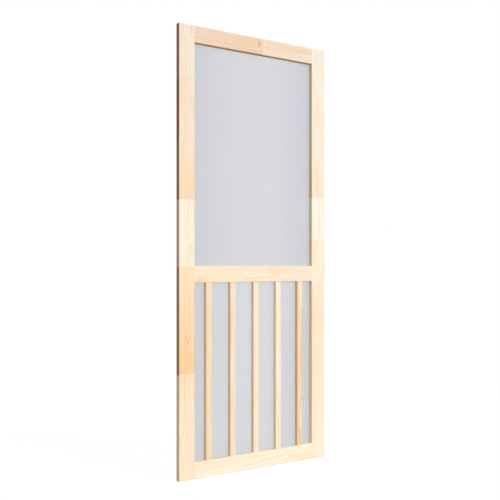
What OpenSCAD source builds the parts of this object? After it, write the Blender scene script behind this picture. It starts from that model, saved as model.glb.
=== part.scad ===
// Wooden screen door leaf: stiles and rails joined with blind tenons, a row of upright bars
// over the lower opening, and a woven screen held in a groove round each opening at the back.
// Millimetres. X runs across the door from the hinge edge, Z up from its foot, and the front
// faces -Y. The origin is on the hinge edge, at the foot, in the middle of the thickness.

/* [Door] */
// Width of the door leaf
door_w = 812.8; // [760:0.1:915]
// Height of the door leaf
door_h = 2032; // [1900:1:2150]
// Thickness of the stiles and rails
door_t = 25.4; // [25:0.1:35]

/* [Frame] */
// Face width of each stile
stile_w = 79.4; // [70:0.1:100]
// Face height of the top rail
top_rail_h = 76.2; // [60:0.1:140]
// Face height of the middle rail
mid_rail_h = 76.2; // [60:0.1:140]
// Face height of the bottom rail
bottom_rail_h = 76.2; // [60:0.1:200]
// Height of the middle rail's lower edge above the foot of the door
mid_rail_z = 879; // [700:1:1200]
// Radius of the round-over on the frame's front edges
frame_round = 3.2; // [0.5:0.1:4]
// Radius of the round-over on the door's outer edges at the back
frame_back_round = 1.6; // [0.5:0.1:4]

/* [Tenons] */
// Length of the rails' tenons in the stiles
tenon_l = 50; // [30:1:60]
// Thickness of the rails' tenons
tenon_t = 8; // [6:0.1:9]
// Height of the shoulder above and below each rail tenon
tenon_shoulder = 14; // [10:0.5:18]
// Distance of the tenons' middle in front of the middle of the door's thickness
tenon_forward = 2; // [0:0.1:3]

/* [Bars] */
// Number of upright bars
bar_count = 5; // [1:1:5]
// Distance from one bar's centre line to the next
bar_pitch = 127; // [60:0.5:135]
// Face width of a bar
bar_w = 31.75; // [25:0.05:40]
// Depth of a bar from front to back
bar_d = 19.05; // [16:0.05:20]
// Radius of the round-over on a bar's front edges
bar_round = 4.8; // [0.5:0.1:7.5]
// Radius of the round-over on a bar's back edges
bar_back_round = 1.6; // [0.5:0.1:7.5]
// Distance of the bars' faces behind the front of the frame
bar_setback = 0.8; // [0:0.1:1.5]
// Length of the tenon at each end of a bar
bar_tenon_l = 18; // [10:0.5:25]
// Thickness of a bar's tenons
bar_tenon_t = 8; // [5:0.1:9]
// Width of the shoulder on each side of a bar's tenons
bar_shoulder = 5; // [3:0.1:8]

/* [Screen] */
// Depth of the recess round each opening in the back of the frame
recess_d = 3.2; // [2:0.1:4]
// Width of the recess from the edge of the opening
recess_w = 14; // [12:0.5:20]
// Depth of the groove below the floor of the recess
groove_d = 5; // [4.5:0.1:5.4]
// Distance from the edge of the opening to the middle of the groove
groove_inset = 7; // [4:0.1:8]
// Thickness of the woven screen
screen_t = 0.4; // [0.3:0.05:0.6]
// Diameter over the ribs of the spline that holds the screen in the groove
spline_d = 3.6; // [3:0.1:4]
// Number of ribs along the spline
spline_ribs = 12; // [8:1:16]
// Height of the spline's ribs
spline_rib_h = 0.3; // [0.1:0.05:0.4]

/* [Fits] */
// Gap round each tenon in its mortise
tenon_gap = 0.2; // [0.1:0.05:0.5]
// Room left for glue at the end of each mortise
glue_room = 1; // [0.5:0.1:3]
// Gap between the spline and the screen folded round it
spline_gap = 0.05; // [0.02:0.01:0.1]

/* [Hidden] */
front_y = -door_t / 2;
back_y = door_t / 2;
opening_x = [stile_w, door_w - stile_w];
lower_z = [bottom_rail_h, mid_rail_z];
upper_z = [mid_rail_z + mid_rail_h, door_h - top_rail_h];
tenon_y = -tenon_forward;
recess_floor = back_y - recess_d;
groove_floor = recess_floor - groove_d;
groove_w = spline_d + 2 * screen_t + 2 * spline_gap;
groove_in = groove_inset - groove_w / 2;
groove_out = groove_inset + groove_w / 2;
spline_y = groove_floor + screen_t + spline_gap + spline_d / 2;
bar_y = front_y + bar_setback + bar_d / 2;
// Where a rib's top, its flank, the floor beside it and the next flank start, as shares of the rib pitch
RIB_STEPS = [0, 0.4, 0.5, 0.9];
// How far a cutting shape runs past the face that it cuts
past = 1;
// Facets of round shapes: a true circle whatever the number
$fn = 48;

pine = "BurlyWood";
pale_pine = "Wheat";
yarn = "DimGray";
vinyl = "Black";

SPLINE_SIDES = ["top", "bottom", "left", "right"];

// Centre line of bar number i, counted from the hinge edge
function bar_x(i) = door_w / 2 + (i - (bar_count + 1) / 2) * bar_pitch;

// Block between two opposite corners
module block(low, high) {
    translate(low) cube(high - low);
}

// Flat picture frame round an opening, from y0 to y1, its inner and outer edge inset beyond the opening
module ring(z, inner, outer, y0, y1) {
    difference() {
        block([opening_x[0] - outer, y0, z[0] - outer], [opening_x[1] + outer, y1, z[1] + outer]);
        block(
            [opening_x[0] - inner, y0 - past, z[0] - inner],
            [opening_x[1] + inner, y1 + past, z[1] + inner]
        );
    }
}

// Sliver that turns a square corner at the origin into a round one, for stock in the +X +Y quarter
module corner_sliver(r) {
    difference() {
        translate([-past, -past]) square(r + past);
        translate([r, r]) circle(r);
    }
}

// Rounds a long edge of stock: the edge runs along +Z from the origin, stock in the +X +Y quarter
module edge_cutter(length, r) {
    translate([0, 0, -past]) linear_extrude(length + 2 * past) corner_sliver(r);
}

// The same cutter, stopped at both ends of the edge
module stopped_edge_cutter(length, r) {
    linear_extrude(length) corner_sliver(r);
}

// Radius of the door's outer edges at its front, face 0, and at its back, face 1
function outer_round(face) = face == 0 ? frame_round : frame_back_round;

// Rounds the door's outer edges, front and back, on all four sides
module outer_edges() {
    for (side = [0, 1], face = [0, 1]) {
        translate([door_w / 2, 0, 0]) mirror([side, 0, 0]) mirror([0, face, 0]) {
            translate([-door_w / 2, front_y, 0]) edge_cutter(door_h, outer_round(face));
        }
    }
    for (end = [0, 1], face = [0, 1]) {
        translate([0, 0, door_h / 2]) mirror([0, 0, end]) mirror([0, face, 0]) {
            translate([door_w, front_y, -door_h / 2]) rotate([0, -90, 0]) {
                edge_cutter(door_w, outer_round(face));
            }
        }
    }
}

// Rounds the front edges of one opening
module opening_edges(z) {
    height = z[1] - z[0];
    width = opening_x[1] - opening_x[0];
    for (side = [0, 1]) {
        translate([door_w / 2, front_y, z[0]]) mirror([side, 0, 0]) {
            translate([-width / 2, 0, 0]) mirror([1, 0, 0]) stopped_edge_cutter(height, frame_round);
        }
    }
    for (end = [0, 1]) {
        translate([opening_x[0], front_y, (z[0] + z[1]) / 2]) mirror([0, 0, end]) {
            translate([0, 0, -height / 2]) rotate([0, 90, 0]) stopped_edge_cutter(width, frame_round);
        }
    }
}

// What is cut round one opening at the back: the recess and the groove in its floor
module screen_seat(z) {
    ring(z, -past, recess_w, recess_floor, back_y + past);
    ring(z, groove_in, groove_out, groove_floor, recess_floor + past);
}

// What is cut from every piece of the frame
module frame_cuts() {
    outer_edges();
    for (z = [lower_z, upper_z]) {
        opening_edges(z);
        screen_seat(z);
    }
}

// Tenons at both ends of a rail between two heights, or their mortises with the gaps added
module rail_tenons(z, gap = 0, room = 0) {
    reach = tenon_l + room;
    block(
        [opening_x[0] - reach, tenon_y - tenon_t / 2 - gap, z[0] + tenon_shoulder - gap],
        [opening_x[1] + reach, tenon_y + tenon_t / 2 + gap, z[1] - tenon_shoulder + gap]
    );
}

// Tenons at both ends of one bar, or their mortises with the gaps added
module bar_tenons(i, gap = 0, room = 0) {
    half_w = bar_w / 2 - bar_shoulder + gap;
    half_t = bar_tenon_t / 2 + gap;
    reach = bar_tenon_l + room;
    block(
        [bar_x(i) - half_w, bar_y - half_t, lower_z[0] - reach],
        [bar_x(i) + half_w, bar_y + half_t, lower_z[1] + reach]
    );
}

module stile(x) {
    difference() {
        block([x, front_y, 0], [x + stile_w, back_y, door_h]);
        frame_cuts();
        for (z = [[0, bottom_rail_h], [mid_rail_z, mid_rail_z + mid_rail_h], [upper_z[1], door_h]]) {
            rail_tenons(z, tenon_gap, glue_room);
        }
    }
}

module rail(z) {
    difference() {
        union() {
            block([opening_x[0], front_y, z[0]], [opening_x[1], back_y, z[1]]);
            rail_tenons(z);
        }
        frame_cuts();
        for (i = [1:bar_count]) bar_tenons(i, tenon_gap, glue_room);
    }
}

module hinge_stile() color(pine) stile(0);

module latch_stile() color(pale_pine) stile(door_w - stile_w);

module top_rail() color(pine) rail([upper_z[1], door_h]);

module mid_rail() color(pale_pine) rail([mid_rail_z, mid_rail_z + mid_rail_h]);

module bottom_rail() color(pale_pine) rail([0, bottom_rail_h]);

// One upright bar with rounded edges, between the bottom and the middle rail
module bar(i) {
    color(pale_pine) {
        translate([bar_x(i), bar_y, lower_z[0]]) difference() {
            translate([-bar_w / 2, -bar_d / 2, 0]) cube([bar_w, bar_d, lower_z[1] - lower_z[0]]);
            for (side = [0, 1], face = [0, 1]) {
                mirror([side, 0, 0]) mirror([0, face, 0]) {
                    translate([-bar_w / 2, -bar_d / 2, 0]) {
                        edge_cutter(lower_z[1] - lower_z[0], face == 0 ? bar_round : bar_back_round);
                    }
                }
            }
        }
        bar_tenons(i);
    }
}

// Woven screen on the floor of the recess, its rim folded down into the groove and up again
module screen(z) {
    color(yarn) {
        block(
            [opening_x[0] - groove_in, recess_floor, z[0] - groove_in],
            [opening_x[1] + groove_in, recess_floor + screen_t, z[1] + groove_in]
        );
        difference() {
            ring(z, groove_in, groove_out, groove_floor, recess_floor + screen_t);
            ring(
                z, groove_in + screen_t, groove_out - screen_t,
                groove_floor + screen_t, recess_floor + screen_t + past
            );
        }
    }
}

// Outline of the spline: a round cord with ribs along it
function spline_outline() = [
    for (rib = [0:spline_ribs - 1], step = [0:3])
        let (
            radius = spline_d / 2 - (step < 2 ? 0 : spline_rib_h),
            angle = 360 / spline_ribs * (rib + RIB_STEPS[step])
        )
        radius * [cos(angle), sin(angle)]
];

// A straight length of spline, up from the origin
module spline_cord(length) {
    linear_extrude(length) polygon(spline_outline());
}

// One length of spline pressed into the groove: the upright lengths run into the corners,
// and the level ones fit between them
module spline(z, side) {
    corner = groove_out - screen_t - spline_gap;
    level_inset = groove_inset - spline_d / 2 - spline_gap;
    color(vinyl) {
        if (side == "left" || side == "right") {
            x = side == "left" ? opening_x[0] - groove_inset : opening_x[1] + groove_inset;
            translate([x, spline_y, z[0] - corner]) spline_cord(z[1] - z[0] + 2 * corner);
        } else {
            level = side == "bottom" ? z[0] - groove_inset : z[1] + groove_inset;
            translate([opening_x[0] - level_inset, spline_y, level]) rotate([0, 90, 0]) {
                spline_cord(opening_x[1] - opening_x[0] + 2 * level_inset);
            }
        }
    }
}

hinge_stile();
latch_stile();
top_rail();
mid_rail();
bottom_rail();
for (i = [1:bar_count]) {
    bar(i);
}
screen(upper_z);  // upper_screen
screen(lower_z);  // lower_screen
for (side = SPLINE_SIDES) {
    spline(upper_z, side);
    spline(lower_z, side);
}
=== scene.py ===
"""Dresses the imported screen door.

The boards get pine with their finger-jointed blocks, each opening gets its woven screen, and the splines
get vinyl. The floor, the light and the camera come last."""

import math
import random

import bmesh
import bpy
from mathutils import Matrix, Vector, noise

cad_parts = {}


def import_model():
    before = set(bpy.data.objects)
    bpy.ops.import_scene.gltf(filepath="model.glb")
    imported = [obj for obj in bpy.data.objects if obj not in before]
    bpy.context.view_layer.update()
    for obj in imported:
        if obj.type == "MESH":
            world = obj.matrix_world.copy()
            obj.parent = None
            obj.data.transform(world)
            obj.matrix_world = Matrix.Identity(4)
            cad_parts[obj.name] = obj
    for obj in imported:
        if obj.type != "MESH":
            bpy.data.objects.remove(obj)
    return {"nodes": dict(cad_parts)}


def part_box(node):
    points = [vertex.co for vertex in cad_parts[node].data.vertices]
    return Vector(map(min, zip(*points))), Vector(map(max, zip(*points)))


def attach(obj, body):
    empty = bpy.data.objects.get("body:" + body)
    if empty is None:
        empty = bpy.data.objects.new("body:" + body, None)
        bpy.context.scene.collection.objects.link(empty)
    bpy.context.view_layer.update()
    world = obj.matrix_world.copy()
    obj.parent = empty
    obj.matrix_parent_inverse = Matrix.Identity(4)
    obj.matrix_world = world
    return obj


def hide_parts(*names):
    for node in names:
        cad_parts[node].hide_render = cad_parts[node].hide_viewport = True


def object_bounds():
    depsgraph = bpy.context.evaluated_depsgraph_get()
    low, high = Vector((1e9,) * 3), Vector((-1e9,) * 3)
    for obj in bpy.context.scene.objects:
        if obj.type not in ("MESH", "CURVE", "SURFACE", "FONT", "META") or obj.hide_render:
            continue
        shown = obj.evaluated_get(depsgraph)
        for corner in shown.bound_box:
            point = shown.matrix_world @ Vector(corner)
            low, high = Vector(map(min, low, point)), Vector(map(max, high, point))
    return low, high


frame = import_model()
cad_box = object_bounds()

MM = 0.001
INCH = 0.0254
WHITE = (1.0, 1.0, 1.0, 1.0)
FRONT = cad_box[0][1]
# How far boards with the grain up and across the door reach from the origin
BOARD_REACH = {"z": cad_box[1][2], "x": cad_box[1][0]}


# Node graph helper

class Graph:
    """Builds the node tree of one material or world, a node a call.

    Inputs are numbers, tuples or the sockets of other nodes."""

    def __init__(self, owner):
        self.owner = owner
        owner.use_nodes = True
        self.tree = owner.node_tree
        self.tree.nodes.clear()

    def node(self, kind, inputs=None, **settings):
        made = self.tree.nodes.new("ShaderNode" + kind)
        for key, value in settings.items():
            setattr(made, key, value)
        for socket, value in (inputs or {}).items():
            self.feed(made.inputs[socket], value)
        return made

    def feed(self, socket, value):
        if isinstance(value, bpy.types.NodeSocket):
            self.tree.links.new(value, socket)
        else:
            socket.default_value = value

    def math(self, operation, *values, clamp=False):
        return self.node("Math", dict(enumerate(values)), operation=operation, use_clamp=clamp).outputs[0]

    def length(self, vector):
        return self.node("VectorMath", {0: vector}, operation="LENGTH").outputs["Value"]

    def coordinates(self, space):
        """The three coordinates of a point in a space of the Texture Coordinate node."""
        return self.separate(self.node("TexCoord").outputs[space])

    def separate(self, vector):
        """The three parts of a vector or colour. A constant one comes back as plain numbers."""
        if isinstance(vector, tuple):
            return vector[:3]
        return self.node("SeparateXYZ", {0: vector}).outputs

    def combine(self, x=0.0, y=0.0, z=0.0):
        return self.node("CombineXYZ", {0: x, 1: y, 2: z}).outputs[0]

    def scaled(self, parts, cells):
        """A vector of parts, each times its own count of cells to the metre."""
        return self.combine(*(self.math("MULTIPLY", part, count) for part, count in zip(parts, cells)))

    def stretched(self, place, cells):
        """A board's point scaled for grain, by a count of cells across and through it and one along it."""
        fine, long = cells
        return self.scaled(place, (fine, fine, long))

    def smooth(self, value, low, high, to_low=0.0, to_high=1.0):
        """Smooth step from to_low, where value is low, to to_high, where it is high."""
        return self.node(
            "MapRange", {0: value, 1: low, 2: high, 3: to_low, 4: to_high}, interpolation_type="SMOOTHSTEP"
        ).outputs[0]

    def noise(self, vector, scale=1.0, detail=2.0, roughness=0.5, w=None):
        """Noise from 0 to 1, in three dimensions, or in four where w is given."""
        inputs = {"Vector": vector, "Scale": scale, "Detail": detail, "Roughness": roughness}
        if w is not None:
            inputs["W"] = w
        dimensions = "3D" if w is None else "4D"
        return self.node("TexNoise", inputs, noise_dimensions=dimensions).outputs["Fac"]

    def mix(self, factor, a, b, blend="MIX"):
        made = self.node("Mix", data_type="RGBA", blend_type=blend)
        self.feed(made.inputs[0], factor)
        self.feed(made.inputs[6], a)
        self.feed(made.inputs[7], b)
        return made.outputs[2]

    def shade(self, amount, colour, tint):
        """Multiplies colour by tint where amount is 1, and leaves it where amount is 0."""
        return self.mix(amount, colour, self.mix(1.0, colour, tint, "MULTIPLY"))

    def pick(self, place, starts, values):
        """The value whose stretch place lies in. The second stretch and those after it begin at starts."""
        picked = values[0]
        for start, value in zip(starts, values[1:]):
            picked = self.mix(self.math("GREATER_THAN", place, start), picked, value)
        return picked

    def bump(self, height, strength, distance):
        return self.node("Bump", {"Strength": strength, "Distance": distance, "Height": height}).outputs[0]

    def blend_shaders(self, share, first, second):
        return self.node("MixShader", {0: share, 1: first, 2: second}).outputs[0]

    def surface(self, inputs):
        shader = self.node("BsdfPrincipled", inputs).outputs[0]
        self.node("OutputMaterial", {0: shader})


def linear(red, green, blue):
    """An sRGB colour from 0 to 255 as a linear RGBA tuple."""
    def channel(value):
        share = value / 255
        return share / 12.92 if share <= 0.04045 else ((share + 0.055) / 1.055) ** 2.4
    return (channel(red), channel(green), channel(blue), 1.0)


def between(a, b, share):
    """The colour that lies share of the way from a to b."""
    return tuple(start + (end - start) * share for start, end in zip(a, b))


def times(a, b):
    """One colour multiplied by another."""
    return tuple(first * second for first, second in zip(a, b))


# Pine

# Colours of planed pine in full light, the pale one and the warm one
CREAM = linear(254, 245, 224)
HONEY = linear(252, 214, 165)

# Tints that marks in the wood lay over them
LATE_WOOD = (0.80, 0.62, 0.42, 1.0)
RESIN = (0.62, 0.42, 0.26, 1.0)
KNOT = (0.52, 0.30, 0.15, 1.0)
STAIN = (0.98, 0.84, 0.66, 1.0)
MOTTLE = (1.0, 0.94, 0.85, 1.0)
ROSE = (0.89, 0.85, 0.905, 1.0)
# Tints of edge faces without heartwood and with heartwood and painted shade, of end faces, and of the
# painted shade in the line where two boards meet
SIDE_GRAIN = (0.99, 0.94, 0.86, 1.0)
HEARTWOOD_AND_SHADE = (0.20, 0.10, 0.05, 1.0)
END_GRAIN = (0.84, 0.74, 0.60, 1.0)
CREVICE_SHADE = (0.35, 0.24, 0.16, 1.0)

# How much of its tint each mark has where it is strongest
LATE_STRENGTH = 0.31
STRAND_STRENGTH = 0.13
FIBRE_STRENGTH = 0.18
MOTTLE_STRENGTH = 0.7
ARCH_STRENGTH = 0.62
GLUE_STRENGTH = 0.4
SHOULDER_SHADE_STRENGTH = 0.18

# Cells to the metre of the noise in the grain, across a board and along it
FIBRE_CELLS = (1400.0, 22.0)
STRAND_CELLS = (260.0, 5.0)
DUCT_CELLS = (2100.0, 95.0)
CLOUD_CELLS = (22.0, 5.0)
WARP_CELLS = (9.0, 1.0)
# How many times finer the noise that warps the rings is, and how far apart in it a board's blocks may lie
WARP_SCALE = 2.2
WARP_APART = 40.0

# Width of a year's ring, how far the rings stray, and the share of their strength that the year changes
RING_WIDTH = 5.2 * MM
RING_WARP = 14 * MM
YEARLY_SHARE = 0.6
# Parts of the year between which late wood sets in, and between which it ends
LATE_RISE = (0.40, 0.93)
LATE_END = (1.0, 0.95)
# The pith: how far aside of a board's middle it may lie, how far behind it at least and how much farther,
# and how much it may lean
PITH_ASIDE = 60 * MM
PITH_BEHIND = 50 * MM
PITH_FARTHER = 70 * MM
PITH_LEAN = 0.03

# V figures: how far their lines waver, and half a line's width as a share of the distance between lines
ARCH_WAVER = 14 * MM
ARCH_LINE = 0.43

# Finger joints between the blocks that a board is glued up from, the lines of glue, and the painted shade in
# the lines of shoulders
FINGER_LENGTH = 9 * MM
FINGER_PITCH = 6.35 * MM
GLUE_LINE = 0.3 * MM
SHOULDER_LINE = 0.5 * MM

# Parts of a normal between which a rounded corner turns from one face into the next
CORNER = (0.25, 0.95)

PINE_ROUGHNESS = 0.56
PINE_SPECULAR = 0.25
PINE_RELIEF = 0.15 * MM


class Block:
    """One of the finger-jointed blocks of a board.

    start is how far along the board it begins, in metres. foot and head are its warmth there and at its
    other end, from 0, cream, to 1, honey. rose is how rose it is, and the last number how dark its edges
    are, with heartwood and with painted shade."""

    def __init__(self, start, foot, head, rose=0.0, heart_and_shade=0.0):
        blush = between(WHITE, ROSE, rose)
        self.start = start
        self.foot = times(between(CREAM, HONEY, foot), blush)
        self.head = times(between(CREAM, HONEY, head), blush)
        # The edge tint holds heartwood and painted shade
        self.edge = between(SIDE_GRAIN, HEARTWOOD_AND_SHADE, heart_and_shade)


def block_colours(graph, place, blocks, starts, length):
    """The tint of a board's blocks, running evenly from foot to head in each, and that of their edges,
    heartwood with painted shade.
    """
    tints = []
    for block, finish in zip(blocks, starts + [length]):
        share = graph.node("MapRange", {0: place, 1: block.start, 2: finish}).outputs[0]
        tints.append(graph.mix(share, block.foot, block.head))
    edges = [block.edge for block in blocks]
    return graph.pick(place, starts, tints), graph.pick(place, starts, edges)


def growth_rings(graph, board, along, place, draw, figure):
    """Late wood of the rings round a pith that lies behind the board and leans, so arches show on the face.

    draw is three random numbers for each block: how far aside the pith is, how it leans, how deep it is."""
    across, depth, run = place
    low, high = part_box(board)
    middle = (low + high) / 2
    middle_across, middle_run = (middle.x, middle.z) if along == "z" else (middle.z, middle.x)
    aside, lean, behind = draw
    apart = graph.math("MULTIPLY", lean, WARP_APART)
    warp = graph.noise(graph.stretched(place, WARP_CELLS), WARP_SCALE, w=apart)
    pith_across = graph.math("MULTIPLY_ADD", aside, 2 * PITH_ASIDE, middle_across - PITH_ASIDE)
    slope = graph.math("MULTIPLY_ADD", lean, 2 * PITH_LEAN, -PITH_LEAN)
    pith_behind = graph.math("MULTIPLY_ADD", behind, PITH_FARTHER, PITH_BEHIND)
    leaning = graph.math("MULTIPLY_ADD", graph.math("SUBTRACT", run, middle_run), slope, depth)
    off_across = graph.math("SUBTRACT", across, pith_across)
    radius = graph.length(graph.combine(off_across, graph.math("ADD", pith_behind, leaning)))
    ring = graph.math("DIVIDE", graph.math("MULTIPLY_ADD", warp, RING_WARP, radius), RING_WIDTH)
    part = graph.math("FRACT", ring)
    number = graph.math("FLOOR", ring)
    year = graph.node("TexWhiteNoise", {"W": number}, noise_dimensions="1D").outputs["Value"]
    late = graph.math("MULTIPLY", graph.smooth(part, *LATE_RISE), graph.smooth(part, *LATE_END))
    strength = graph.math("MULTIPLY_ADD", year, YEARLY_SHARE * figure, (1 - YEARLY_SHARE) * figure)
    return graph.math("MULTIPLY", late, strength, clamp=True)


def arches(graph, across, run, cloud, middle, tip, slope, half_width, pitch, lines):
    """Nested V figures where the arches of some rings come to a point, 1 on a line and 0 off them.

    They lie on both sides of middle, as far as half_width, and the first has its point at tip. slope is how
    steep their arms are, and one below 0 turns them over. lines is how many there are, pitch apart."""
    way = math.copysign(1, slope)
    off_across = graph.math("ABSOLUTE", graph.math("SUBTRACT", across, middle))
    from_tip = graph.math("MULTIPLY_ADD", run, way, -way * tip - ARCH_WAVER / 2)
    off_along = graph.math("MULTIPLY_ADD", cloud, ARCH_WAVER, from_tip)
    above = graph.math("MULTIPLY_ADD", off_across, -abs(slope), off_along)
    drawn = graph.smooth(graph.math("PINGPONG", above, pitch / 2), ARCH_LINE * pitch, 0.0)
    last = (lines - 1) * pitch
    begun = graph.smooth(above, -pitch / 3, 0.0)
    inside = graph.math("MULTIPLY", begun, graph.smooth(above, last + pitch, last))
    faded = graph.math("MULTIPLY", inside, graph.smooth(off_across, half_width, half_width / 2))
    return graph.math("MULTIPLY", drawn, faded)


def patches(graph, across, run, spots):
    """Soft round patches: (place across, place along, reach across, reach along, strength)."""
    mark = 0.0
    for place_across, place_along, reach_across, reach_along, strength in spots:
        off_across = graph.math("DIVIDE", graph.math("SUBTRACT", across, place_across), reach_across)
        off_along = graph.math("DIVIDE", graph.math("SUBTRACT", run, place_along), reach_along)
        away = graph.length(graph.combine(off_across, off_along))
        mark = graph.math("MAXIMUM", mark, graph.smooth(away, 1.0, 0.0, 0.0, strength))
    return mark


def nearest(graph, place, lines, width):
    """1 on the nearest of some lines across a board, down to 0 at width beside it."""
    away = None
    for line in lines:
        off = graph.math("ABSOLUTE", graph.math("SUBTRACT", place, line))
        away = off if away is None else graph.math("MINIMUM", away, off)
    return graph.smooth(away, width, 0.0)


def board_faces(graph, along):
    """How far a point lies on a board's edge faces, its end faces and a face towards the latch side."""
    normal_x, _, normal_z = graph.coordinates("Normal")
    end_on, edge_on = (normal_z, normal_x) if along == "z" else (normal_x, normal_z)
    edge, end = [graph.smooth(graph.math("ABSOLUTE", side), *CORNER) for side in (edge_on, end_on)]
    return edge, end, graph.smooth(normal_x, 0.0, CORNER[0])


def lay_grain(graph, place, late, figure, tint):
    """Lays late wood, strands, fibres, broad clouds and resin ducts over a tint.

    Gives the colour, and the noise of the fibres and of the clouds."""
    fibre = graph.noise(graph.stretched(place, FIBRE_CELLS), detail=3.0, roughness=0.65)
    strand = graph.noise(graph.stretched(place, STRAND_CELLS))
    duct = graph.noise(graph.stretched(place, DUCT_CELLS), detail=0.0)
    cloud = graph.noise(graph.stretched(place, CLOUD_CELLS))
    colour = graph.shade(graph.math("MULTIPLY", late, LATE_STRENGTH), tint, LATE_WOOD)
    colour = graph.shade(graph.smooth(strand, 0.40, 0.75, 0.0, STRAND_STRENGTH * figure), colour, LATE_WOOD)
    colour = graph.shade(graph.smooth(fibre, 0.45, 0.80, 0.0, FIBRE_STRENGTH), colour, LATE_WOOD)
    colour = graph.shade(graph.smooth(cloud, 0.40, 0.66, 0.0, MOTTLE_STRENGTH), colour, MOTTLE)
    dense = graph.math("MULTIPLY_ADD", late, 0.5, graph.smooth(strand, 0.42, 0.62, 0.15, 0.5))
    colour = graph.shade(graph.math("MULTIPLY", graph.smooth(duct, 0.70, 0.79), dense), colour, RESIN)
    return colour, fibre, cloud


def draw_joints(graph, fingered, starts, run, shoulders, colour):
    """Draws the glue between a board's blocks, and painted shade in the lines where it meets other boards
    end on.
    """
    if starts:
        glue = nearest(graph, fingered, starts, GLUE_LINE)
        colour = graph.shade(graph.math("MULTIPLY", glue, GLUE_STRENGTH), colour, RESIN)
    if shoulders:
        # Painted shade in the crevice where the board meets another end on
        crevice_shade = nearest(graph, run, shoulders, SHOULDER_LINE)
        colour = graph.shade(graph.math("MULTIPLY", crevice_shade, SHOULDER_SHADE_STRENGTH), colour, CREVICE_SHADE)
    return colour


def pine(board, along, blocks, shoulders=(), knots=(), stains=(), pale=(), points=None, figure=1.0, seed=0):
    """Planed pine for one CAD board, glued up from finger-jointed blocks.

    along is the axis of the grain. shoulders are where the board meets others end on. knots, stains and
    pale are lists of soft patches, points says what V figures it has, and figure how strong the grain is."""
    graph = Graph(bpy.data.materials.new("pine_" + board))
    dice = random.Random(seed)
    x, y, z = graph.coordinates("Object")
    run, across = (z, x) if along == "z" else (x, z)
    place = (across, y, run)

    # Blocks meet in fingers that show on the board's edge faces
    starts = [block.start for block in blocks[1:]]
    teeth = graph.math("PINGPONG", graph.math("SUBTRACT", y, FRONT), FINGER_PITCH / 2)
    fingered = graph.math("MULTIPLY_ADD", teeth, 2 * FINGER_LENGTH / FINGER_PITCH, run)
    tint, edge_heartwood_and_shade = block_colours(graph, fingered, blocks, starts, BOARD_REACH[along])
    draws = [tuple(dice.random() for _ in range(3)) + (1.0,) for _ in blocks]
    draw = graph.separate(graph.pick(fingered, starts, draws))
    late = growth_rings(graph, board, along, place, draw, figure)
    if pale:
        tint = graph.mix(patches(graph, across, run, pale), tint, CREAM)

    # Grain, and the marks that the photograph shows
    colour, fibre, cloud = lay_grain(graph, place, late, figure, tint)
    if stains:
        colour = graph.shade(patches(graph, across, run, stains), colour, STAIN)
    if points:
        drawn = arches(graph, across, run, cloud, **points)
        colour = graph.shade(graph.math("MULTIPLY", drawn, ARCH_STRENGTH), colour, LATE_WOOD)
    if knots:
        colour = graph.shade(patches(graph, across, run, knots), colour, KNOT)

    # Edge faces, end faces and joints
    edge, end, latchward = board_faces(graph, along)
    if along == "z":
        # The edge tint, heartwood with painted shade, lies only on an upright's faces turned to the hinge
        # side, away from the key light
        edge_heartwood_and_shade = graph.mix(latchward, edge_heartwood_and_shade, SIDE_GRAIN)
    # Edges darken with heartwood and with painted shade
    colour = graph.shade(edge, colour, edge_heartwood_and_shade)
    colour = graph.shade(end, colour, END_GRAIN)
    colour = draw_joints(graph, fingered, starts, run, shoulders, colour)

    # Late wood lies lower than the fibres and is smoother
    relief = graph.math("MULTIPLY_ADD", fibre, 0.5, graph.math("MULTIPLY", late, -0.35))
    fibrous = graph.math("MULTIPLY_ADD", fibre, 0.12, PINE_ROUGHNESS)
    graph.surface({
        "Base Color": colour,
        "Roughness": graph.math("MULTIPLY_ADD", late, -0.10, fibrous),
        "Specular IOR Level": PINE_SPECULAR,
        "Normal": graph.bump(relief, 0.35, PINE_RELIEF),
    })
    return graph.owner


# Each block's last number darkens its edges, with heartwood and with painted shade
HINGE_STILE_BLOCKS = [
    Block(0.000, 0.15, 0.47, rose=0.00, heart_and_shade=0.32),
    Block(0.475, 1.00, 0.47, rose=0.00, heart_and_shade=0.83),
    Block(0.953, -0.02, -0.05, rose=0.12, heart_and_shade=0.57),
    Block(1.252, 0.62, 0.45, rose=0.18, heart_and_shade=0.90),
    Block(1.508, 0.28, 0.26, rose=0.46, heart_and_shade=1.02),
    Block(1.788, 0.10, 0.15, rose=0.62, heart_and_shade=0.94),
]
LATCH_STILE_BLOCKS = [
    Block(0.000, 0.10, 0.27, rose=0.00, heart_and_shade=0.00),
    Block(0.655, 0.30, 0.26, rose=0.04, heart_and_shade=0.00),
    Block(0.863, 0.10, 0.10, rose=0.00, heart_and_shade=0.15),
    Block(1.082, -0.30, -0.28, rose=0.20, heart_and_shade=0.18),
    Block(1.296, 0.18, 0.02, rose=0.30, heart_and_shade=0.30),
    Block(1.483, 0.03, -0.02, rose=0.38, heart_and_shade=0.20),
]
TOP_RAIL_BLOCKS = [
    Block(0.000, 0.53, 0.53, rose=1.00, heart_and_shade=0.25),
    Block(0.441, 0.33, 0.28, rose=0.76, heart_and_shade=0.25),
]
MID_RAIL_BLOCKS = [
    Block(0.000, 0.26, 0.24, rose=0.05, heart_and_shade=0.00),
    Block(0.528, 0.14, 0.10, rose=0.40, heart_and_shade=0.00),
]
BOTTOM_RAIL_BLOCKS = [
    Block(0.000, 0.02, -0.14, rose=0.03, heart_and_shade=0.15),
    Block(0.590, 0.02, 0.00, rose=0.00, heart_and_shade=0.12),
]
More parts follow.
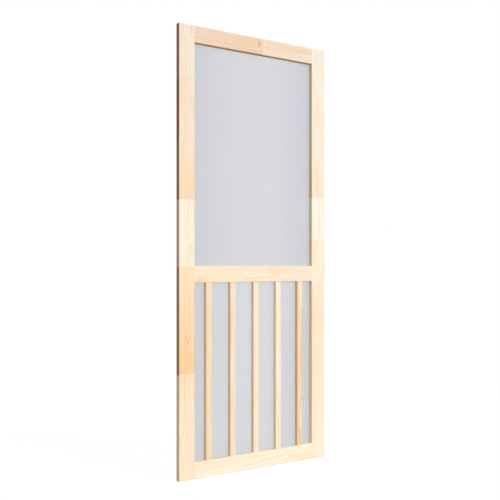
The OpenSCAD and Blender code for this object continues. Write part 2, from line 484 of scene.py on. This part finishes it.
# Each bar is one block
BAR_BLOCKS = [
    Block(0.000, 0.46, 0.44, rose=0.39, heart_and_shade=0.12),
    Block(0.000, 0.33, 0.33, rose=0.37, heart_and_shade=0.10),
    Block(0.000, 0.23, 0.23, rose=0.16, heart_and_shade=0.06),
    Block(0.000, 0.08, 0.08, rose=0.08, heart_and_shade=0.04),
    Block(0.000, 0.82, 0.76, rose=0.05, heart_and_shade=0.10),
]


def paint(node_name, material):
    """Puts a material on a CAD node, in place of the one it came with."""
    mesh = frame["nodes"][node_name].data
    mesh.materials.clear()
    mesh.materials.append(material)


def dress_board(board, along, blocks, **details):
    paint(board, pine(board, along, blocks, **details))


def dress_stiles():
    arch = {
        "middle": 46 * MM, "tip": 609 * MM, "slope": 2.1,
        "half_width": 19 * MM, "pitch": 30 * MM, "lines": 1,
    }
    dress_board("hinge_stile", "z", HINGE_STILE_BLOCKS, points=arch, seed=1)
    dress_board("latch_stile", "z", LATCH_STILE_BLOCKS, seed=2)


def dress_rails(left, right, foot, head):
    """Rails between the stiles, with a knot, stains and streaks. The bars stand between foot and head."""
    knot = (2005 * MM, 424 * MM, 30 * MM, 14 * MM, 0.34)
    corner_stain = (head + 10 * MM, left + 25 * MM, 28 * MM, 60 * MM, 0.95)
    joint_stain = (head + 40 * MM, 505 * MM, 60 * MM, 45 * MM, 0.45)
    upper_streak = (foot - 12 * MM, 240 * MM, 44 * MM, 380 * MM, 0.42)
    lower_streak = (22 * MM, 690 * MM, 24 * MM, 120 * MM, 0.50)
    middle_marks = {"stains": [corner_stain, joint_stain], "figure": 0.7}
    bottom_marks = {"stains": [upper_streak, lower_streak]}
    dress_board("top_rail", "x", TOP_RAIL_BLOCKS, shoulders=(left, right), knots=[knot], seed=3)
    dress_board("mid_rail", "x", MID_RAIL_BLOCKS, shoulders=(left, right), seed=4, **middle_marks)
    dress_board("bottom_rail", "x", BOTTOM_RAIL_BLOCKS, shoulders=(left, right), seed=5, **bottom_marks)


def last_bar_marks(name):
    """What the bar by the latch stile has: a darker middle, paler ends and V figures near its foot."""
    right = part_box(name)[1].x
    high_patch = (right - 4 * MM, 815 * MM, 26 * MM, 120 * MM, 0.9)
    low_patch = (right - 2 * MM, 190 * MM, 20 * MM, 150 * MM, 1.0)
    dark_patch = (right - 5 * MM, 550 * MM, 13 * MM, 230 * MM, 0.30)
    figures = {
        "middle": right, "tip": 315 * MM, "slope": -1.5,
        "half_width": 27 * MM, "pitch": 38 * MM, "lines": 7,
    }
    return {"pale": [high_patch, low_patch], "knots": [dark_patch], "points": figures, "figure": 1.2}


def dress_bars(foot, head):
    for number, block in enumerate(BAR_BLOCKS, 1):
        name = f"bar_{number}"
        marks = last_bar_marks(name) if number == len(BAR_BLOCKS) else {"figure": 0.8}
        dress_board(name, "z", [block], shoulders=(foot, head), seed=5 + number, **marks)


def dress_boards():
    foot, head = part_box("bottom_rail")[1].z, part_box("mid_rail")[0].z
    dress_stiles()
    dress_rails(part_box("hinge_stile")[1].x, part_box("latch_stile")[0].x, foot, head)
    dress_bars(foot, head)


# Screen

YARN = 0.35 * MM
YARN_COLOUR = linear(124, 128, 146)
YARN_GLINT = (0.72, 0.82, 1.0, 1.0)
# Yarns stand 18 to the inch across the door and 16 up it
YARN_PITCH = (INCH / 18, INCH / 16)
# How far the yarn's fibres fray on each side of its outline, as a share of its radius
FRAY = 1.0
# How far a yarn rises over those that it crosses, in yarn radii
LIFT = 0.45
# A yarn's least thickness as a share of YARN, and what nearness to the sides, slow drift and its own
# unevenness add to it
LEAST = 0.84
SIDES_ADD = 0.30
DRIFT_ADDS = 0.16
UPRIGHT_ADDS = 0.10
LEVEL_ADDS = 0.08
# Cells to the metre of a yarn's unevenness, across it and along it, and of drift, across the door and up it
YARN_CELLS = (75.0, 0.7)
DRIFT_CELLS = (3.0, 1.2)

SCREEN_THICKNESS = 0.4 * MM
GROOVE_WIDTH = 4.5 * MM
# Radius of the rim's bends, and how far the middle of a bend lies from each of its two walls
BEND = 0.45 * MM
BEND_MIDDLE = 0.3 * BEND
# Slack of the plate, which begins some way in from its edge and is full that much farther in
SLACK = 0.45 * MM
SLACK_FROM = 14 * MM
SLACK_GROWS = 80 * MM
# Cells of the sheet across the door and up it
SCREEN_CELLS = (32, 44)


def yarn_height(graph, along, other, along_pitch, other_pitch, thickness, lift):
    """How much yarns that lie at multiples of along_pitch cover, and how high they stand in yarn radii."""
    number = graph.math("ROUND", graph.math("DIVIDE", along, along_pitch))
    off = graph.math("ABSOLUTE", graph.math("MULTIPLY_ADD", number, -along_pitch, along))
    share = graph.math("DIVIDE", off, graph.math("MULTIPLY", thickness, 0.5))
    covered = graph.smooth(share, 1 + FRAY, 1 - FRAY)
    dome = graph.math("SQRT", graph.math("SUBTRACT", 1.0, graph.math("MULTIPLY", share, share), clamp=True))
    turns = graph.math("ADD", graph.math("DIVIDE", other, other_pitch), number)
    wave = graph.math("MULTIPLY", graph.math("COSINE", graph.math("MULTIPLY", turns, math.pi)), lift)
    height = graph.math("ADD", graph.math("ADD", dome, wave), 1.0)
    return covered, graph.math("MULTIPLY", height, covered)


def screen_material(name, middle, half):
    """Blue-grey vinyl-coated yarn in plain weave, open between.

    The sheet's UV map is its flat size in metres. The weave closes a little towards the sides, so the sheet
    is darker there, and its yarns vary a little in thickness."""
    graph = Graph(bpy.data.materials.new(name))
    u, v, _ = graph.coordinates("UV")
    x, _, z = graph.coordinates("Object")
    sideways = graph.math("DIVIDE", graph.math("SUBTRACT", x, middle), half)
    # The weave closes towards the sides, which makes the sheet darker there
    tight = graph.math("MULTIPLY", sideways, sideways)
    drift_x, drift_z = (graph.math("MULTIPLY", part, count) for part, count in zip((x, z), DRIFT_CELLS))
    drift = graph.noise(graph.combine(drift_x, 0.0, drift_z), detail=1.0)
    thin = graph.math("MULTIPLY_ADD", drift, DRIFT_ADDS, LEAST)
    common = graph.math("MULTIPLY_ADD", tight, SIDES_ADD, thin)
    uneven_upright = graph.noise(graph.scaled((u, v), YARN_CELLS), detail=1.0)
    uneven_level = graph.noise(graph.scaled((u, v), reversed(YARN_CELLS)), detail=1.0)
    upright = graph.math("MULTIPLY", graph.math("MULTIPLY_ADD", uneven_upright, UPRIGHT_ADDS, common), YARN)
    level = graph.math("MULTIPLY", graph.math("MULTIPLY_ADD", uneven_level, LEVEL_ADDS, common), YARN)
    on_upright, upright_height = yarn_height(graph, u, v, *YARN_PITCH, upright, LIFT)
    on_level, level_height = yarn_height(graph, v, u, *reversed(YARN_PITCH), level, -LIFT)
    cover = graph.math("MAXIMUM", on_upright, on_level)
    yarn = {
        "Base Color": YARN_COLOUR,
        "Roughness": 0.55,
        "Specular Tint": YARN_GLINT,
        "Normal": graph.bump(graph.math("MAXIMUM", upright_height, level_height), 0.8, YARN / 2),
    }
    solid = graph.node("BsdfPrincipled", yarn).outputs[0]
    clear = graph.node("BsdfTransparent").outputs[0]
    graph.node("OutputMaterial", {0: graph.blend_shaders(cover, clear, solid)})
    return graph.owner


def rim_profile(low_y, plate_y):
    """The rim's fold from the plate into the groove: (distance in from its outer face, y)."""
    outer, inner = SCREEN_THICKNESS / 2, GROOVE_WIDTH - SCREEN_THICKNESS / 2
    floor = low_y + SCREEN_THICKNESS / 2
    return [
        (inner + BEND, plate_y), (inner + BEND_MIDDLE, plate_y - BEND_MIDDLE), (inner, plate_y - BEND),
        (inner, floor + BEND), (inner - BEND_MIDDLE, floor + BEND_MIDDLE), (inner - BEND, floor),
        (outer + BEND, floor), (outer + BEND_MIDDLE, floor + BEND_MIDDLE), (outer, floor + BEND),
        (outer, plate_y),
    ]


def plate_wave(x, z, low, high):
    """How far the taut plate stands off its plane: slight slack between the sides, none at them."""
    edge = min(x - low.x, high.x - x, z - low.z, high.z - z)
    hold = max(0.0, min(1.0, (edge - SLACK_FROM) / SLACK_GROWS))
    broad = noise.noise(Vector((x * 5.0, low.z, z * 2.5)))
    fine = noise.noise(Vector((x * 14.0, low.z, z * 4.0)))
    return SLACK * hold * hold * (3 - 2 * hold) * (broad + 0.4 * fine)


def add_face(mesh, flat, corners, places):
    """Adds a face whose corners lie at places on the flat sheet."""
    face = mesh.faces.new(corners)
    face.smooth = True
    for loop, place in zip(face.loops, places):
        loop[flat].uv = place


def add_plate(mesh, flat, low, high, plate_y, plate_half):
    """Adds the taut plate. Gives its vertices as columns from the hinge side, each from its foot up."""
    middle = (low + high) / 2
    columns, rows = SCREEN_CELLS
    grid = []
    for column in range(columns + 1):
        x = middle.x + plate_half.x * (2 * column / columns - 1)
        heights = [middle.z + plate_half.z * (2 * row / rows - 1) for row in range(rows + 1)]
        grid.append([mesh.verts.new((x, plate_y + plate_wave(x, z, low, high), z)) for z in heights])
    for near, far in zip(grid, grid[1:]):
        for row in range(rows):
            corners = [near[row], far[row], far[row + 1], near[row + 1]]
            add_face(mesh, flat, corners, [(corner.co.x, corner.co.z) for corner in corners])
    return grid


def border_of(grid):
    """The vertices round a plate, each with the way out from its side: (vertex, across, up)."""
    columns, rows = SCREEN_CELLS
    foot = [(grid[column][0], 0, -1) for column in range(columns)]
    latch_side = [(grid[columns][row], 1, 0) for row in range(rows)]
    head = [(grid[column][rows], 0, 1) for column in range(columns, 0, -1)]
    hinge_side = [(grid[0][row], -1, 0) for row in range(rows, 0, -1)]
    return foot + latch_side + head + hinge_side


def add_rim(mesh, flat, border, profile, low, high, plate_half):
    """Adds the rim as rings round the plate, each pushed out along the fold. Gives the fold's length."""
    middle, half = (low + high) / 2, (high - low) / 2
    ring = [vert for vert, _, _ in border]
    travelled = 0.0
    for (last_in, last_y), (inward, y) in zip(profile, profile[1:]):
        step = math.hypot(last_in - inward, last_y - y)
        stretch_x = (half.x - inward) / (half.x - last_in)
        stretch_z = (half.z - inward) / (half.z - last_in)
        outer = []
        for vert in ring:
            x = middle.x + (vert.co.x - middle.x) * stretch_x
            z = middle.z + (vert.co.z - middle.z) * stretch_z
            outer.append(mesh.verts.new((x, y, z)))
        reaches = (travelled, travelled + step, travelled + step, travelled)
        for number, (_, side_x, side_z) in enumerate(border):
            following = (number + 1) % len(border)
            corners = [ring[number], outer[number], outer[following], ring[following]]
            places = []
            for corner, reach in zip(corners, reaches):
                edge_x = middle.x + side_x * (plate_half.x + reach)
                edge_z = middle.z + side_z * (plate_half.z + reach)
                places.append((edge_x if side_x else corner.co.x, edge_z if side_z else corner.co.z))
            add_face(mesh, flat, corners, places)
        ring = outer
        travelled += step
    return travelled


def screen_sheet(name, cad_node):
    """The woven screen of one opening as one sheet: a taut plate with its rim folded through the groove."""
    low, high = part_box(cad_node)
    middle, half = (low + high) / 2, (high - low) / 2
    plate_y = high.y - SCREEN_THICKNESS / 2
    profile = rim_profile(low.y, plate_y)
    inset = profile[0][0]
    plate_half = Vector((half.x - inset, 0, half.z - inset))
    mesh = bmesh.new()
    flat = mesh.loops.layers.uv.new("flat")
    grid = add_plate(mesh, flat, low, high, plate_y, plate_half)
    folded = add_rim(mesh, flat, border_of(grid), profile, low, high, plate_half)
    data = bpy.data.meshes.new(name)
    mesh.to_mesh(data)
    mesh.free()
    data.materials.append(screen_material(name + "_yarn", middle.x, half.x))
    piece = bpy.data.objects.new(name, data)
    bpy.context.scene.collection.objects.link(piece)
    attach(piece, "root")
    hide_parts(cad_node)


# Spline

VINYL = linear(30, 30, 32)
VINYL_BLOOM = linear(58, 58, 60)
BLOOM_CELLS = 90.0
GRIT_CELLS = 2500.0
GRIT_RELIEF = 0.05 * MM


def vinyl_material():
    """Soft black vinyl with a dull bloom."""
    graph = Graph(bpy.data.materials.new("black_vinyl"))
    place = graph.node("TexCoord").outputs["Object"]
    bloom = graph.noise(place, BLOOM_CELLS, detail=3.0, roughness=0.6)
    grit = graph.noise(place, GRIT_CELLS)
    graph.surface({
        "Base Color": graph.mix(graph.smooth(bloom, 0.35, 0.75), VINYL, VINYL_BLOOM),
        "Roughness": graph.smooth(bloom, 0.3, 0.8, 0.38, 0.58),
        "Normal": graph.bump(grit, 0.3, GRIT_RELIEF),
    })
    return graph.owner


def dress_splines():
    vinyl = vinyl_material()
    for opening in ("upper", "lower"):
        for side in ("top", "bottom", "left", "right"):
            paint(f"{opening}_spline_{side}", vinyl)


# Floor, light and camera

FLOOR_REACH = 60.0
# The floor as it shows, lit and glowing, and the grey that bounces light back to the door
PAPER = (0.9, 0.9, 0.9, 1.0)
PAPER_GLOW = 1.1
GLOW_SHARE = 0.8
BOUNCE = (0.5, 0.5, 0.5, 1.0)
# Strength of the light from all around
AMBIENT = 0.3

# The photograph's camera stands before the door's hinge side and is turned towards the latch side
CAMERA_PLACE = (-1.4425, -2.893, 0.962)
CAMERA_TURN = 32.2
CAMERA_LENS = 52.22
CAMERA_SHIFT = 0.0288


def stage():
    """A plain pale floor, nearly white to the camera and grey to the door."""
    floor = bpy.data.meshes.new("floor")
    corners = [(x * FLOOR_REACH, y * FLOOR_REACH, 0) for x, y in ((-1, -1), (1, -1), (1, 1), (-1, 1))]
    floor.from_pydata(corners, [], [(0, 1, 2, 3)])
    ground = bpy.data.objects.new("floor", floor)
    bpy.context.scene.collection.objects.link(ground)
    graph = Graph(bpy.data.materials.new("floor_paper"))
    path = graph.node("LightPath").outputs
    mirrored = graph.math("MAXIMUM", path["Is Glossy Ray"], path["Is Transmission Ray"])
    seen = graph.math("MAXIMUM", path["Is Camera Ray"], mirrored)
    lit = graph.node("BsdfDiffuse", {"Color": PAPER}).outputs[0]
    glow = graph.node("Emission", {"Color": WHITE, "Strength": PAPER_GLOW}).outputs[0]
    bounce = graph.node("BsdfDiffuse", {"Color": BOUNCE}).outputs[0]
    shown = graph.blend_shaders(GLOW_SHARE, lit, glow)
    graph.node("OutputMaterial", {0: graph.blend_shaders(seen, bounce, shown)})
    floor.materials.append(graph.owner)


def world():
    """White where it is seen or mirrored, and a low light from all around on the door."""
    studio = bpy.data.worlds.new("studio")
    bpy.context.scene.world = studio
    graph = Graph(studio)
    path = graph.node("LightPath").outputs
    seen = graph.math("MAXIMUM", path["Is Camera Ray"], path["Is Glossy Ray"])
    strength = graph.node("MapRange", {0: seen, 3: AMBIENT, 4: 1.0}).outputs[0]
    background = graph.node("Background", {0: WHITE, 1: strength}).outputs[0]
    graph.node("OutputWorld", {0: background})


def sun(name, towards, level, softness):
    """Even light from one side.

    towards points at the light, level is how bright it makes a face turned to it, and softness is how many
    degrees wide it is."""
    data = bpy.data.lights.new(name, "SUN")
    data.energy = level * math.pi
    data.angle = math.radians(softness)
    made = bpy.data.objects.new(name, data)
    bpy.context.scene.collection.objects.link(made)
    made.rotation_euler = Vector(towards).to_track_quat("Z", "Y").to_euler()


def camera():
    data = bpy.data.cameras.new("camera")
    data.sensor_width = 36
    data.lens = CAMERA_LENS
    data.shift_y = CAMERA_SHIFT
    data.clip_end = 200
    made = bpy.data.objects.new("camera", data)
    bpy.context.scene.collection.objects.link(made)
    made.location = CAMERA_PLACE
    made.rotation_euler = (math.radians(90), 0, -math.radians(CAMERA_TURN))
    bpy.context.scene.camera = made


dress_boards()
screen_sheet("upper_screen_mesh", "upper_screen")
screen_sheet("lower_screen_mesh", "lower_screen")
dress_splines()
stage()
world()
sun("key", (0.45, -0.80, 0.36), level=0.703, softness=35)
sun("fill", (-0.85, -0.50, 0.15), level=0.305, softness=50)
sun("back", (0.40, 0.85, 0.30), level=0.60, softness=40)
camera()
bpy.context.scene.view_settings.view_transform = "Standard"
